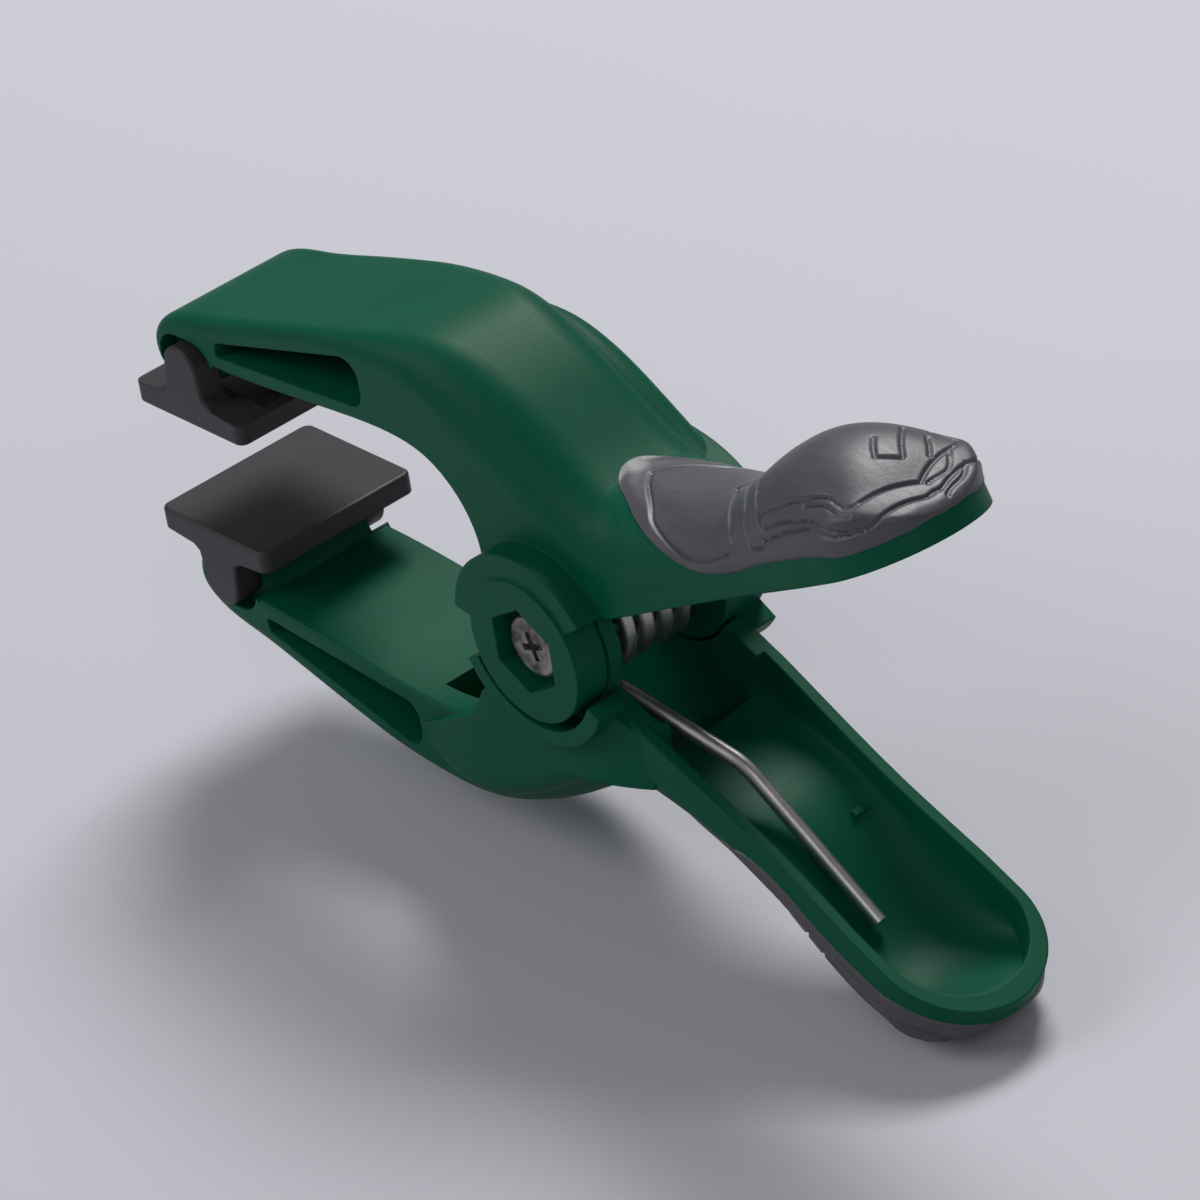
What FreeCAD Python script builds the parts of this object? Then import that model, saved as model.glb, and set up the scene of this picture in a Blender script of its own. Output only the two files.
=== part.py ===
import FreeCAD, Part
import math
import os
import Sketcher

from FreeCAD import Matrix, Placement, Rotation, Vector

os.makedirs("parts", exist_ok=True)
doc = FreeCAD.newDocument("spring_clamp")

# Driving sizes, in millimetres and degrees.
# The arm is described in its own frame: the pivot is the origin, the jaw
# reaches along -X, the handle along +X, and the back of the arm is up.
SIZES = [
    ("rest_gap", 23.0),
    ("jaw_reach", 106.3),
    ("jaw_width", 32.7),
    ("jaw_inner_height", 28.6),
    ("jaw_beam_depth", 19.2),
    ("jaw_edge_radius", 3.0),
    ("throat_round", 0.8),
    ("shoulder_round", 9.0),
    ("neck_round", 10.0),
    ("slot_depth", 13.2),
    ("slot_margin", 3.2),
    ("pad_axis_inset", 10.3),
    ("pad_axis_rise", 23.0),
    ("pad_axis_to_face", 11.5),
    ("pad_length", 31.0),
    ("pad_width", 36.7),
    ("pad_plate", 3.0),
    ("pad_corner_round", 2.0),
    ("pad_edge_round", 0.7),
    ("pad_border_height", 1.3),
    ("pad_border_width", 2.2),
    ("pad_block_height", 5.0),
    ("pad_block_width", 8.0),
    ("pad_block_slope", 0.8),
    ("ear_thickness", 5.5),
    ("ear_top_radius", 4.7),
    ("ear_hip_width", 10.8),
    ("ear_hip_height", 1.5),
    ("ear_foot_width", 15.0),
    ("ear_play", 0.45),
    ("ear_swing_room", 2.8),
    ("ear_top_room", 1.1),
    ("lug_wall", 2.7),
    ("stud_diameter", 5.0),
    ("stud_length", 4.0),
    ("stud_play", 0.06),
    ("boss_radius", 14.0),
    ("boss_rise", 6.25),
    ("collar_wall", 3.5),
    ("collar_rise", 5.65),
    ("collar_root", 0.85),
    ("inner_ear_thickness", 2.9),
    ("side_play", 0.3),
    ("turning_play", 1.2),
    ("crescent_play", 2.0),
    ("crescent_band", 3.2),
    ("crescent_rise", 5.55),
    ("hub_wall", 4.0),
    ("swell_rise", 3.65),
    ("swell_reach", 41.0),
    ("swell_depth", 6.0),
    ("swell_drop", 5.0),
    ("swell_round", 5.0),
    ("window_reach", 41.0),
    ("window_width", 22.0),
    ("hex_across_flats", 15.0),
    ("hex_depth", 4.6),
    ("pin_diameter", 8.0),
    ("pin_play", 0.06),
    ("pin_head_diameter", 12.4),
    ("pin_head_height", 2.6),
    ("pin_head_round", 0.9),
    ("cross_length", 5.6),
    ("cross_width", 1.3),
    ("cross_depth", 1.7),
    ("screw_diameter", 6.0),
    ("screw_length", 24.0),
    ("screw_play", 0.05),
    ("bore_play", 1.0),
    ("handle_angle", 26.0),
    ("handle_offset", 1.5),
    ("handle_root", 23.0),
    ("handle_length", 104.0),
    ("handle_width", 32.7),
    ("handle_waist", 31.2),
    ("handle_side_height", 5.4),
    ("handle_crown", 20.5),
    ("handle_saddle", 14.0),
    ("handle_cap", 17.0),
    ("handle_wall", 2.8),
    ("handle_rim", 2.2),
    ("handle_tip_rim", 4.0),
    ("rib_reach", 55.0),
    ("rib_thickness", 1.4),
    ("rib_height", 1.2),
    ("rib_width", 7.0),
    ("grip_thickness", 4.4),
    ("grip_side_thickness", 1.6),
    ("grip_border", 5.8),
    ("grip_tip_margin", 4.2),
    ("wire_diameter", 3.0),
    ("coil_radius", 9.5),
    ("coil_turns", 4.5),
    ("coil_play", 1.05),
    ("leg_reach", 73.6),
    ("leg_play", 0.4),
    ("leg_tip_offset", 2.2),
    ("leg_bend_reach", 35.0),
    ("leg_bend_drop", 19.2),
    ("leg_bend_offset", 5.4),
    ("leg_bend_radius", 8.0),
]
sheet = doc.addObject("Spreadsheet::Sheet", "sizes")
for row, (alias, value) in enumerate(SIZES, start=1):
    sheet.set("A%d" % row, alias)
    sheet.set("B%d" % row, str(value))
    sheet.setAlias("B%d" % row, alias)
doc.recompute()


def size(alias):
    return float(sheet.get(alias))


def at(x, z, y=0.0):
    return Vector(x, y, z)


def polar(radius, degrees):
    angle = math.radians(degrees)
    return at(radius * math.cos(angle), radius * math.sin(angle))


def curve(points):
    spline = Part.BSplineCurve()
    spline.interpolate(points)
    return spline.toShape()


def line(start, end):
    return Part.LineSegment(start, end).toShape()


def arc_through(start, middle, end):
    return Part.Arc(start, middle, end).toShape()


def rounded_wire(corners):
    """Closed wire through (x, z, radius) corners, each turned with its arc."""
    count = len(corners)
    points = [at(x, z) for x, z, _ in corners]
    spans = []
    for index, (_, _, radius) in enumerate(corners):
        here = points[index]
        back = (points[index - 1] - here).normalize()
        ahead = (points[(index + 1) % count] - here).normalize()
        if radius <= 0:
            spans.append((here, None, here))
            continue
        half = back.getAngle(ahead) / 2.0
        reach = radius / math.tan(half)
        centre = here + (back + ahead).normalize() * (radius / math.sin(half))
        middle = centre + (here - centre).normalize() * radius
        spans.append((here + back * reach, middle, here + ahead * reach))
    edges = []
    for index, (start, middle, end) in enumerate(spans):
        if middle is not None:
            edges.append(arc_through(start, middle, end))
        following = spans[(index + 1) % count][0]
        if end.distanceToPoint(following) > 1e-6:
            edges.append(line(end, following))
    return Part.Wire(edges)


def slab(wire, y_low, y_high):
    """A flat outline in the XZ plane, made solid from y_low to y_high."""
    face = Part.Face(wire)
    face.translate(Vector(0, y_low, 0))
    return face.extrude(Vector(0, y_high - y_low, 0))


def both_sides(solid):
    return [solid, solid.mirror(Vector(0, 0, 0), Vector(0, 1, 0))]


def across(radius, x, z, y_low, y_high):
    """A cylinder lying across the clamp, along Y."""
    return Part.makeCylinder(radius, y_high - y_low, Vector(x, y_low, z), Vector(0, 1, 0))


def sector(inner, outer, start, end, y_low, y_high):
    """A ring sector about the pivot, angles in degrees."""
    middle = (start + end) / 2.0
    edges = [arc_through(polar(outer, start), polar(outer, middle), polar(outer, end))]
    edges.append(line(polar(outer, end), polar(inner, end)))
    edges.append(arc_through(polar(inner, end), polar(inner, middle), polar(inner, start)))
    edges.append(line(polar(inner, start), polar(outer, start)))
    return slab(Part.Wire(edges), y_low, y_high)


# Places shared by more than one piece.
half_jaw = size("jaw_width") / 2.0
half_handle = size("handle_width") / 2.0
ring_inner = size("boss_radius") + size("turning_play")
collar_radius = ring_inner + size("collar_wall")
boss_back = half_jaw - size("collar_root")
boss_face = half_jaw + size("boss_rise")
ear_back = boss_back - size("side_play")
ear_face = ear_back - size("inner_ear_thickness")
pin_bore = size("pin_diameter") / 2.0 + size("pin_play")
pad_reach = size("jaw_reach") - size("pad_axis_inset")
pad_axis = at(-pad_reach, size("pad_axis_rise"))
web_half = size("pad_width") / 2.0 - size("ear_thickness") - size("ear_play")

# Angles about the pivot, or about the stud, in degrees from +X.
COLLAR_START = 33.0
COLLAR_END = 172.0
CRESCENT = (25.0, 155.0)
EAR_WEB = (36.0, 150.0)
LUG_START = -37.8

# The handle has its own frame: s runs along the open rim from the pivot's
# foot to the tip, n stands square to the rim, towards the back.
rim = Matrix()
rim.rotateY(-math.radians(size("handle_angle")))
rim.move(Vector(0, 0, size("handle_offset")))


def rim_point(s, n, y=0.0):
    return rim.multVec(Vector(s, y, n))


# The handle's back along the rim: share of the way from root to tip, height of
# the crown, height of the upright side, half width, and reach of the rounding.
root = size("handle_root")
length = size("handle_length")
crown = size("handle_crown")
saddle = size("handle_saddle")
side = size("handle_side_height")
half_waist = size("handle_waist") / 2.0
cap_start = length - size("handle_cap")


def between(low, high, share):
    return low + (high - low) * share


def station(share, top, wall, half_width, corner):
    return (between(root, length, share), top, min(wall, 0.6 * top), half_width, corner * half_width)


STATIONS = [
    (root, crown, 0.34 * crown, half_handle, size("neck_round")),
    station(0.070, between(saddle, crown, 0.78), 1.15 * side, 0.998 * half_handle, 0.93),
    station(0.174, between(saddle, crown, 0.36), side, between(half_waist, half_handle, 0.55), 0.95),
    station(0.315, saddle, side, between(half_waist, half_handle, 0.08), 0.95),
    station(0.438, between(saddle, crown, 0.22), side, half_waist, 0.95),
    station(0.574, between(saddle, crown, 0.76), side, between(half_waist, half_handle, 0.50), 0.95),
    station(0.691, crown, side, between(half_waist, half_handle, 1.05), 0.95),
    station(0.802, 0.90 * crown, side, between(half_waist, half_handle, 1.60), 0.95),
    station(0.877, 0.71 * crown, side, between(half_waist, half_handle, 1.90), 0.95),
    station(0.938, 0.465 * crown, 0.9 * side, between(half_waist, half_handle, 2.10), 0.95),
    station(1.000, 0.235 * crown, 0.5 * side, between(half_waist, half_handle, 2.30), 0.95),
]


def arch_section(s, low, top, wall, half_width, corner):
    """Closed section across the handle: flat rim, upright sides, rounded back."""
    pull = 0.5523
    corners = []
    for way in (1, -1):
        bend = Part.BezierCurve()
        bend.setPoles([Vector(s, way * half_width, wall),
                       Vector(s, way * half_width, between(wall, top, pull)),
                       Vector(s, way * (half_width - corner * (1.0 - pull)), top),
                       Vector(s, way * (half_width - corner), top)])
        corners.append(bend.toShape())
    edges = [line(Vector(s, -half_width, low), Vector(s, half_width, low))]
    edges.append(line(Vector(s, half_width, low), Vector(s, half_width, wall)))
    edges.append(corners[0])
    edges.append(line(Vector(s, half_width - corner, top), Vector(s, corner - half_width, top)))
    edges.append(corners[1])
    edges.append(line(Vector(s, -half_width, wall), Vector(s, -half_width, low)))
    return Part.Wire(edges)


def handle_form(low, lowered, inset):
    """The handle's back as a solid, lowered under its crown and narrowed."""
    sections = []
    for s, top, wall, half_width, corner in STATIONS:
        sunk = top - lowered * min(1.0, top / saddle)
        narrow = (half_width - inset) / half_width
        upright = min(wall, 0.6 * sunk)
        sections.append(arch_section(s, low, sunk, upright, half_width * narrow, corner * narrow))
    return Part.makeLoft(sections, True, False)


def floor_height(s):
    """Height of the hollow's floor over the rim, on the handle's middle line."""
    crowns = curve([Vector(place, 0, top) for place, top, _, _, _ in STATIONS])
    cut = crowns.Curve.intersectCC(Part.Line(Vector(s, 0, -50), Vector(s, 0, 90)))
    top = cut[0].Z
    return top - size("grip_thickness") * min(1.0, top / saddle) - size("handle_wall")


def plan_prism(start, end, half_width, start_round, end_round, low, high):
    """Plan outline of the handle, made solid from low to high over the rim.
    Its ends are half ellipses, or square where the rounding is zero."""
    def cap(base, reach):
        turn = [math.pi * (0.5 - index / 10.0) for index in range(11)]
        return curve([Vector(base + reach * math.cos(a), half_width * math.sin(a), low) for a in turn])
    near = start + start_round
    far = end - end_round
    edges = [line(Vector(near, half_width, low), Vector(far, half_width, low)), cap(far, end_round)]
    edges.append(line(Vector(far, -half_width, low), Vector(near, -half_width, low)))
    if start_round > 0:
        edges.append(cap(near, -start_round))
    else:
        edges.append(line(Vector(near, -half_width, low), Vector(near, half_width, low)))
    wire = Part.Wire(Part.__sortEdges__(edges))
    return Part.Face(wire).extrude(Vector(0, 0, high - low))


def over_throat(rise):
    """A height over the throat's crest, which grows with the beam's depth."""
    return size("jaw_inner_height") + rise * size("jaw_beam_depth") / 19.2


def back_points(lowered=0.0):
    """The arm's back in side view, from the shoulder's start to the handle's root."""
    kx = size("jaw_reach") / 106.3
    joint = rim_point(root, crown)
    points = [(-57.0 * kx, over_throat(14.5)), (-40.0 * kx, over_throat(18.2)),
              (-29.0 * kx, over_throat(19.4)), (-21.5, over_throat(18.3)),
              (-15.0, over_throat(16.0)), (-8.0, over_throat(12.6)),
              (joint.x - 8.7, joint.z + 4.5), (joint.x - 3.7, joint.z + 1.7), (joint.x, joint.z)]
    return [at(x, z - lowered) for x, z in points]


def throat_points():
    kx = size("jaw_reach") / 106.3
    ki = size("jaw_inner_height") / 28.6
    return [polar(collar_radius, 152.0), at(-16.9, 14.5), at(-20.5, 21.5 * ki),
            at(-28.0, 27.0 * ki), at(-38.0 * kx, 28.6 * ki), at(-52.0 * kx, 27.9 * ki),
            at(-70.0 * kx, 26.2 * ki), at(-88.2 * kx, 25.2 * ki)]


def ring_foot():
    """Where the ring round the pivot meets the line of the handle's open rim."""
    tilt = size("handle_angle")
    height = size("handle_offset") * math.cos(math.radians(tilt))
    return polar(ring_inner, tilt + math.degrees(math.asin(min(0.9, height / ring_inner))))


def build_core():
    """Jaw beam, hub and neck from one side outline. Its back edges are rounded,
    little along the jaw and more from the shoulder over the neck."""
    kx = size("jaw_reach") / 106.3
    reach = size("jaw_reach")
    px, pz = pad_axis.x, pad_axis.z
    neck = back_points()
    outline = [at(-reach, pz + 0.5), at(0.8 - reach, pz + 5.0), at(4.7 - reach, pz + 8.3),
               at(-90.0 * kx, over_throat(6.0)), at(-76.0 * kx, over_throat(9.6))] + neck
    back = Part.BSplineCurve()
    back.interpolate(outline)
    marks = [back.FirstParameter, back.parameter(neck[0]), back.parameter(neck[3]), back.LastParameter]
    edges = [back.toShape(first, last) for first, last in zip(marks, marks[1:])]
    throat = throat_points()
    lug = size("stud_diameter") / 2.0 + size("lug_wall")
    lug_a = at(px, pz) + polar(lug, LUG_START)
    lug_b = at(px, pz) + polar(lug, 180.0 - LUG_START)
    edges += [line(neck[-1], rim_point(root, 0)), line(rim_point(root, 0), ring_foot())]
    edges.append(arc_through(ring_foot(), polar(ring_inner, 100.0), polar(ring_inner, COLLAR_END)))
    edges.append(line(polar(ring_inner, COLLAR_END), polar(collar_radius, COLLAR_END)))
    edges.append(arc_through(polar(collar_radius, COLLAR_END),
                             polar(collar_radius, COLLAR_END - 10.0), throat[0]))
    edges.append(curve(throat))
    edges.append(line(throat[-1], lug_a))
    edges.append(arc_through(lug_a, at(px, pz - lug), lug_b))
    edges.append(line(lug_b, outline[0]))
    block = doc.addObject("Part::Feature", "arm_block")
    block.Shape = slab(Part.Wire(edges), -half_jaw, half_jaw)
    fine, wide, widest = size("jaw_edge_radius"), size("shoulder_round"), size("neck_round")
    rounds = []
    for index, edge in enumerate(block.Shape.Edges, start=1):
        middle = edge.CenterOfMass
        along_back = middle.z > throat[4].z and edge.Length > 15.0
        if abs(abs(middle.y) - half_jaw) > 1e-6:
            continue
        if edge.Length > 60.0 and middle.z < throat[4].z:
            rounds.append((index, size("throat_round"), size("throat_round")))
        if not along_back:
            continue
        start = min(vertex.X for vertex in edge.Vertexes)
        if start < neck[0].x - 1.0:
            rounds.append((index, fine, fine))
        elif start < neck[3].x - 1.0:
            rounds.append((index, fine, wide))
        else:
            rounds.append((index, wide, widest))
    rounded = doc.addObject("Part::Fillet", "arm_rounded")
    rounded.Base = block
    rounded.Edges = rounds
    doc.recompute()
    return rounded.Shape


def jaw_cuts():
    """Side slots, ear pockets and the trunnion bore of the jaw."""
    kx = size("jaw_reach") / 106.3
    ki = size("jaw_inner_height") / 28.6
    margin = size("slot_margin")
    slot = rounded_wire([(-86.4 * kx, 24.9 * ki + margin, 0.8),
                         (-85.8 * kx, over_throat(5.8) - margin, 0.8),
                         (-46.6 * kx + margin, over_throat(16.8) - margin, 4.0),
                         (-46.6 * kx + margin, 28.2 * ki + margin, 3.6)])
    tools = both_sides(slab(slot, half_jaw - size("slot_depth"), half_jaw + 5.0))
    px, pz = pad_axis.x, pad_axis.z
    ear = size("ear_top_radius")
    room = ear + size("ear_swing_room")
    roof = pz + ear + size("ear_top_room")
    pocket = rounded_wire([(px - room, pz - 12.0, 0), (px - room, roof, 5.0),
                           (px + room, roof, 5.0), (px + room, pz - 12.0, 0)])
    tools += both_sides(slab(pocket, web_half, half_jaw + 5.0))
    bore = size("stud_diameter") / 2.0 + size("stud_play")
    tools.append(across(bore, px, pz, -half_jaw, half_jaw))
    return tools


def hub_cavity():
    """The hollow behind the pivot, open towards the other arm, and its window
    in the throat."""
    wall = size("hub_wall")
    low = rim_point(root, -1.0)
    step = rim_point(root + 1.2, 0.62 * crown)
    high = rim_point(root - 0.5, crown - wall - 1.0)
    roof = over_throat(18.0) - wall
    hollow = rounded_wire([(low.x + 1.2, low.z, 0), (step.x, step.z, 0), (high.x, high.z, 2.0),
                           (-7.0, over_throat(12.0) - wall, 6.0), (-21.0, roof, 6.0), (-24.0, roof, 0),
                           (-24.0, 8.0, 0), (-12.5, 8.0, 0), (4.0, 4.0, 0)])
    reach = size("window_reach")
    half_window = size("window_width") / 2.0
    window = rounded_wire([(-reach, 18.0, 0), (-reach, roof - 1.2, 3.0),
                           (-20.0, roof - 1.0, 3.0), (-14.0, 18.0, 0)])
    return [slab(hollow, -ear_face, ear_face), slab(window, -half_window, half_window)]


def build_swell():
    """The rounded swelling of the side round the other arm's boss."""
    face = half_jaw + size("swell_rise")
    edge = -size("swell_reach")
    inside = half_jaw - size("swell_depth")
    back = curve(back_points(size("swell_drop"))[1:])
    first = back.valueAt(back.FirstParameter)
    last = back.valueAt(back.LastParameter)
    foot = rim_point(root + 2.0, 0.8)
    throat = throat_points()
    front = [first, at(edge, throat[4].z + 4.9), at(-30.5, throat[3].z + 0.9), at(-21.5, 23.0),
             at(-17.4, 16.0), at(-8.0, 7.0), at(12.0, 7.6), foot, at(foot.x, last.z - 1.0), last]
    outline = [back] + [line(a, b) for a, b in zip(front, front[1:])]
    body = slab(Part.Wire(outline), inside, face + 4.0)
    bulge = [Vector(edge, half_jaw + 0.8, 0), Vector(-33.0, face - 1.4, 0), Vector(-22.0, face, 0),
             Vector(-6.0, face + 0.3, 0), Vector(8.0, face - 0.3, 0), Vector(16.0, face - 2.0, 0),
             Vector(foot.x + 1.0, half_jaw - 0.9, 0)]
    corners = [bulge[-1], Vector(foot.x + 1.0, inside, 0), Vector(edge, inside, 0), bulge[0]]
    plan = [curve(bulge)] + [line(a, b) for a, b in zip(corners, corners[1:])]
    body = body.common(Part.Face(Part.Wire(plan)).extrude(Vector(0, 0, 80.0)))
    outer = [part for part in body.Edges
             if part.CenterOfMass.y > half_jaw and part.CenterOfMass.z > 30.0 and part.Length > 20.0]
    body = body.makeFillet(size("swell_round"), outer)
    inner = size("boss_radius") + size("crescent_play")
    return body.cut(across(inner, 0, 0, 0.0, face + 5.0))


def build_handle():
    """The handle's shell and the soft grip moulded on its back."""
    outer = handle_form(0.0, 0.0, 0.0)
    ends = Part.makeBox(length, 80.0, 60.0, Vector(cap_start - 9.0, -40.0, -5.0))
    cap = plan_prism(cap_start - 12.0, length, half_handle, 0, size("handle_cap"), -5.0, 55.0)
    outer = outer.cut(ends.cut(cap))
    shell = handle_form(-2.0, size("grip_thickness"), size("grip_side_thickness"))
    outline = plan_prism(root + 1.2, length - size("grip_tip_margin"), half_handle + 1.2,
                         0.22 * length, size("handle_cap") - 1.0, -1.0, 60.0)
    border = size("grip_border")
    heights = [(0.18, 0.80), (0.31, 0.98), (0.42, 1.22), (0.55, 1.10), (0.72, 1.04)]
    edge = [at(root - 2.0, 0.80 * border)]
    edge += [at(between(root, length, share), height * border) for share, height in heights]
    edge.append(at(length + 3.0, border))
    roof = [Vector(length + 3.0, 0, 60.0), Vector(root - 2.0, 0, 60.0)]
    sides = [curve(edge), line(edge[-1], roof[0]), line(roof[0], roof[1]), line(roof[1], edge[0])]
    above = slab(Part.Wire(sides), -40.0, 40.0)
    grip = outer.common(outline).common(above).cut(shell)
    body = outer.cut(grip)
    hollow_half = half_handle - size("handle_rim")
    hollow = []
    for s, top, wall, half_width, _ in STATIONS:
        sunk = top - size("grip_thickness") * min(1.0, top / saddle) - size("handle_wall")
        sunk = max(sunk, 0.12 * crown)
        inner = min(half_width, half_handle) - size("handle_rim")
        hollow.append(arch_section(s, -1.0, sunk, min(wall, 0.55 * sunk), inner, 0.92 * inner))
    hollow = Part.makeLoft(hollow, True, False)
    bay = plan_prism(root - 4.0, length - size("handle_tip_rim"), hollow_half + 0.4, 0,
                     size("handle_cap") - 2.0, -2.0, 40.0)
    body = body.cut(hollow.common(bay))
    reach = size("rib_reach")
    rib = Part.makeBox(size("rib_thickness"), size("rib_width") + 1.0, size("rib_height") + 1.0,
                       Vector(reach, -hollow_half - 1.0, floor_height(reach) - size("rib_height")))
    return body.fuse(rib.common(shell)), grip


def build_arm():
    """One moulded arm and its grip. The other arm is the same moulding,
    turned half a turn about the clamp's long axis."""
    handle, grip = build_handle()
    handle.transformShape(rim)
    grip.transformShape(rim)
    arm = build_core().fuse(handle)
    collar_face = half_jaw + size("collar_rise")
    collar = sector(0.5, collar_radius, COLLAR_START, COLLAR_END, -collar_face, -boss_back)
    boss = across(size("boss_radius"), 0, 0, -boss_face, -boss_back)
    inner_ear = across(size("boss_radius") + 0.5, 0, 0, ear_face, ear_back)
    ear_web = sector(4.0, ring_inner + 1.5, EAR_WEB[0], EAR_WEB[1], ear_face, ear_back)
    band = size("boss_radius") + size("crescent_play")
    crescent = sector(band, band + size("crescent_band"), CRESCENT[0], CRESCENT[1],
                      ear_back, half_jaw + size("crescent_rise"))
    arm = arm.fuse([collar, boss, inner_ear, ear_web, crescent, build_swell()])
    tools = jaw_cuts() + hub_cavity()
    tools.append(across(pin_bore, 0, 0, -boss_face - 1.0, boss_face + 1.0))
    hexagon = Part.makePolygon([polar(size("hex_across_flats") / math.sqrt(3.0), 30.0 + 60.0 * turn)
                                for turn in range(7)])
    tools.append(slab(hexagon, -boss_face - 1.0, size("hex_depth") - boss_face))
    arm = arm.cut(tools).removeSplitter()
    return arm, grip


arm_shape, grip_shape = build_arm()

# Where the pieces stand. The lower jaw's clamping face is the origin.
axis_radius = math.hypot(pad_reach, size("pad_axis_rise"))
half_gap = size("rest_gap") / 2.0
axis_height = half_gap + size("pad_axis_to_face")
swing = math.degrees(math.asin(axis_height / axis_radius)
                     - math.atan2(size("pad_axis_rise"), pad_reach))
axis_reach = math.sqrt(axis_radius ** 2 - axis_height ** 2)
pivot = Vector(axis_reach, 0, half_gap)
upper_place = Placement(pivot, Rotation(Vector(0, 1, 0), swing))
half_turn = Placement(Vector(0, 0, 0), Rotation(Vector(1, 0, 0), 180))
lower_place = Placement(pivot, Rotation(Vector(0, 1, 0), -swing)).multiply(half_turn)


def add_moulding(label, shape, place):
    obj = doc.addObject("Part::Feature", label)
    obj.Label = label
    obj.Shape = shape
    obj.Placement = place.multiply(shape.Placement)
    return obj


nodes = []
nodes.append(add_moulding("upper_arm", arm_shape, upper_place))
nodes.append(add_moulding("upper_grip", grip_shape, upper_place))
nodes.append(add_moulding("lower_arm", arm_shape.copy(), lower_place))
nodes.append(add_moulding("lower_grip", grip_shape.copy(), lower_place))


def worth(terms):
    """Value of a sum of shares of driving sizes."""
    return sum(share * size(alias) for alias, share in terms)


def formula(terms):
    return " + ".join("%g * sizes.%s" % (share, alias) for alias, share in terms)


def less(terms):
    return [(alias, -share) for alias, share in terms]


def plane_of(body, role):
    for feature in body.Origin.OriginFeatures:
        if feature.Role == role:
            return feature
    raise ValueError(role)


def add_sketch(body, name, role, offset=None):
    """Empty sketch on a plane of its own body, set off by a sum of sizes."""
    sketch = body.newObject("Sketcher::SketchObject", name)
    sketch.AttachmentSupport = [(plane_of(body, role), "")]
    sketch.MapMode = "FlatFace"
    if offset:
        sketch.setExpression(".AttachmentOffset.Base.z", formula(offset))
    return sketch


def hold_point(sketch, geometry, position, terms_x, terms_y):
    """Bind both coordinates of a sketch point to the sheet."""
    for kind, axis, terms in (("DistanceX", -2, terms_x), ("DistanceY", -1, terms_y)):
        value = worth(terms)
        if abs(value) < 1e-9:
            sketch.addConstraint(Sketcher.Constraint("PointOnObject", geometry, position, axis))
            continue
        ends = (-1, 1, geometry, position) if value > 0 else (geometry, position, -1, 1)
        row = sketch.addConstraint(Sketcher.Constraint(kind, *ends, abs(value)))
        sketch.setExpression("Constraints[%d]" % row, formula(terms if value > 0 else less(terms)))


def add_outline(sketch, corners):
    """Closed outline through corners, each a pair of sums of sizes."""
    points = [Vector(worth(x), worth(y), 0) for x, y in corners]
    count = len(points)
    for index, point in enumerate(points):
        sketch.addGeometry(Part.LineSegment(point, points[(index + 1) % count]), False)
    for index, (x, y) in enumerate(corners):
        sketch.addConstraint(Sketcher.Constraint("Coincident", index, 2, (index + 1) % count, 1))
        hold_point(sketch, index, 1, x, y)


def add_rectangle(sketch, half_x, half_y):
    add_outline(sketch, [(less(half_x), less(half_y)), (half_x, less(half_y)),
                         (half_x, half_y), (less(half_x), half_y)])


def add_disc(sketch, diameter):
    ring = Part.Circle(Vector(0, 0, 0), Vector(0, 0, 1), size(diameter) / 2.0)
    circle = sketch.addGeometry(ring, False)
    sketch.addConstraint(Sketcher.Constraint("Coincident", circle, 3, -1, 1))
    row = sketch.addConstraint(Sketcher.Constraint("Diameter", circle, size(diameter)))
    sketch.setExpression("Constraints[%d]" % row, "sizes.%s" % diameter)


def add_bell(sketch, radius, corners):
    """Outline of an ear: an arc about the stud axis over sides that flare to a foot."""
    ring = Part.Circle(Vector(0, 0, 0), Vector(0, 0, 1), size(radius))
    sketch.addGeometry(Part.ArcOfCircle(ring, 0, math.pi), False)
    sketch.addConstraint(Sketcher.Constraint("Coincident", 0, 3, -1, 1))
    row = sketch.addConstraint(Sketcher.Constraint("Radius", 0, size(radius)))
    sketch.setExpression("Constraints[%d]" % row, "sizes.%s" % radius)
    ends = [Vector(-size(radius), 0, 0)] + [Vector(worth(x), worth(y), 0) for x, y in corners]
    ends.append(Vector(size(radius), 0, 0))
    for index, (start, end) in enumerate(zip(ends, ends[1:]), start=1):
        sketch.addGeometry(Part.LineSegment(start, end), False)
        if index <= len(corners):
            hold_point(sketch, index, 2, *corners[index - 1])
        if index > 1:
            sketch.addConstraint(Sketcher.Constraint("Coincident", index - 1, 2, index, 1))
    sketch.addConstraint(Sketcher.Constraint("Coincident", 1, 1, 0, 2))
    sketch.addConstraint(Sketcher.Constraint("Coincident", len(corners) + 1, 2, 0, 1))
    for end in (1, 2):
        sketch.addConstraint(Sketcher.Constraint("PointOnObject", 0, end, -1))


def add_feature(body, kind, name, sketch, length, inward=False):
    """Pad or pocket of a sketch whose length is a sum of sizes."""
    feature = body.newObject("PartDesign::" + kind, name)
    feature.Profile = sketch
    feature.Reversed = inward
    feature.setExpression("Length", formula(length))
    return feature


def add_rounding(body, name, radius, wanted):
    """Fillet of the body's edges that the test picks out."""
    doc.recompute()
    base = body.Tip
    edges = enumerate(base.Shape.Edges, start=1)
    fillet = body.newObject("PartDesign::Fillet", name)
    fillet.Base = (base, ["Edge%d" % index for index, edge in edges if wanted(edge)])
    fillet.setExpression("Radius", "sizes.%s" % radius)


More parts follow.
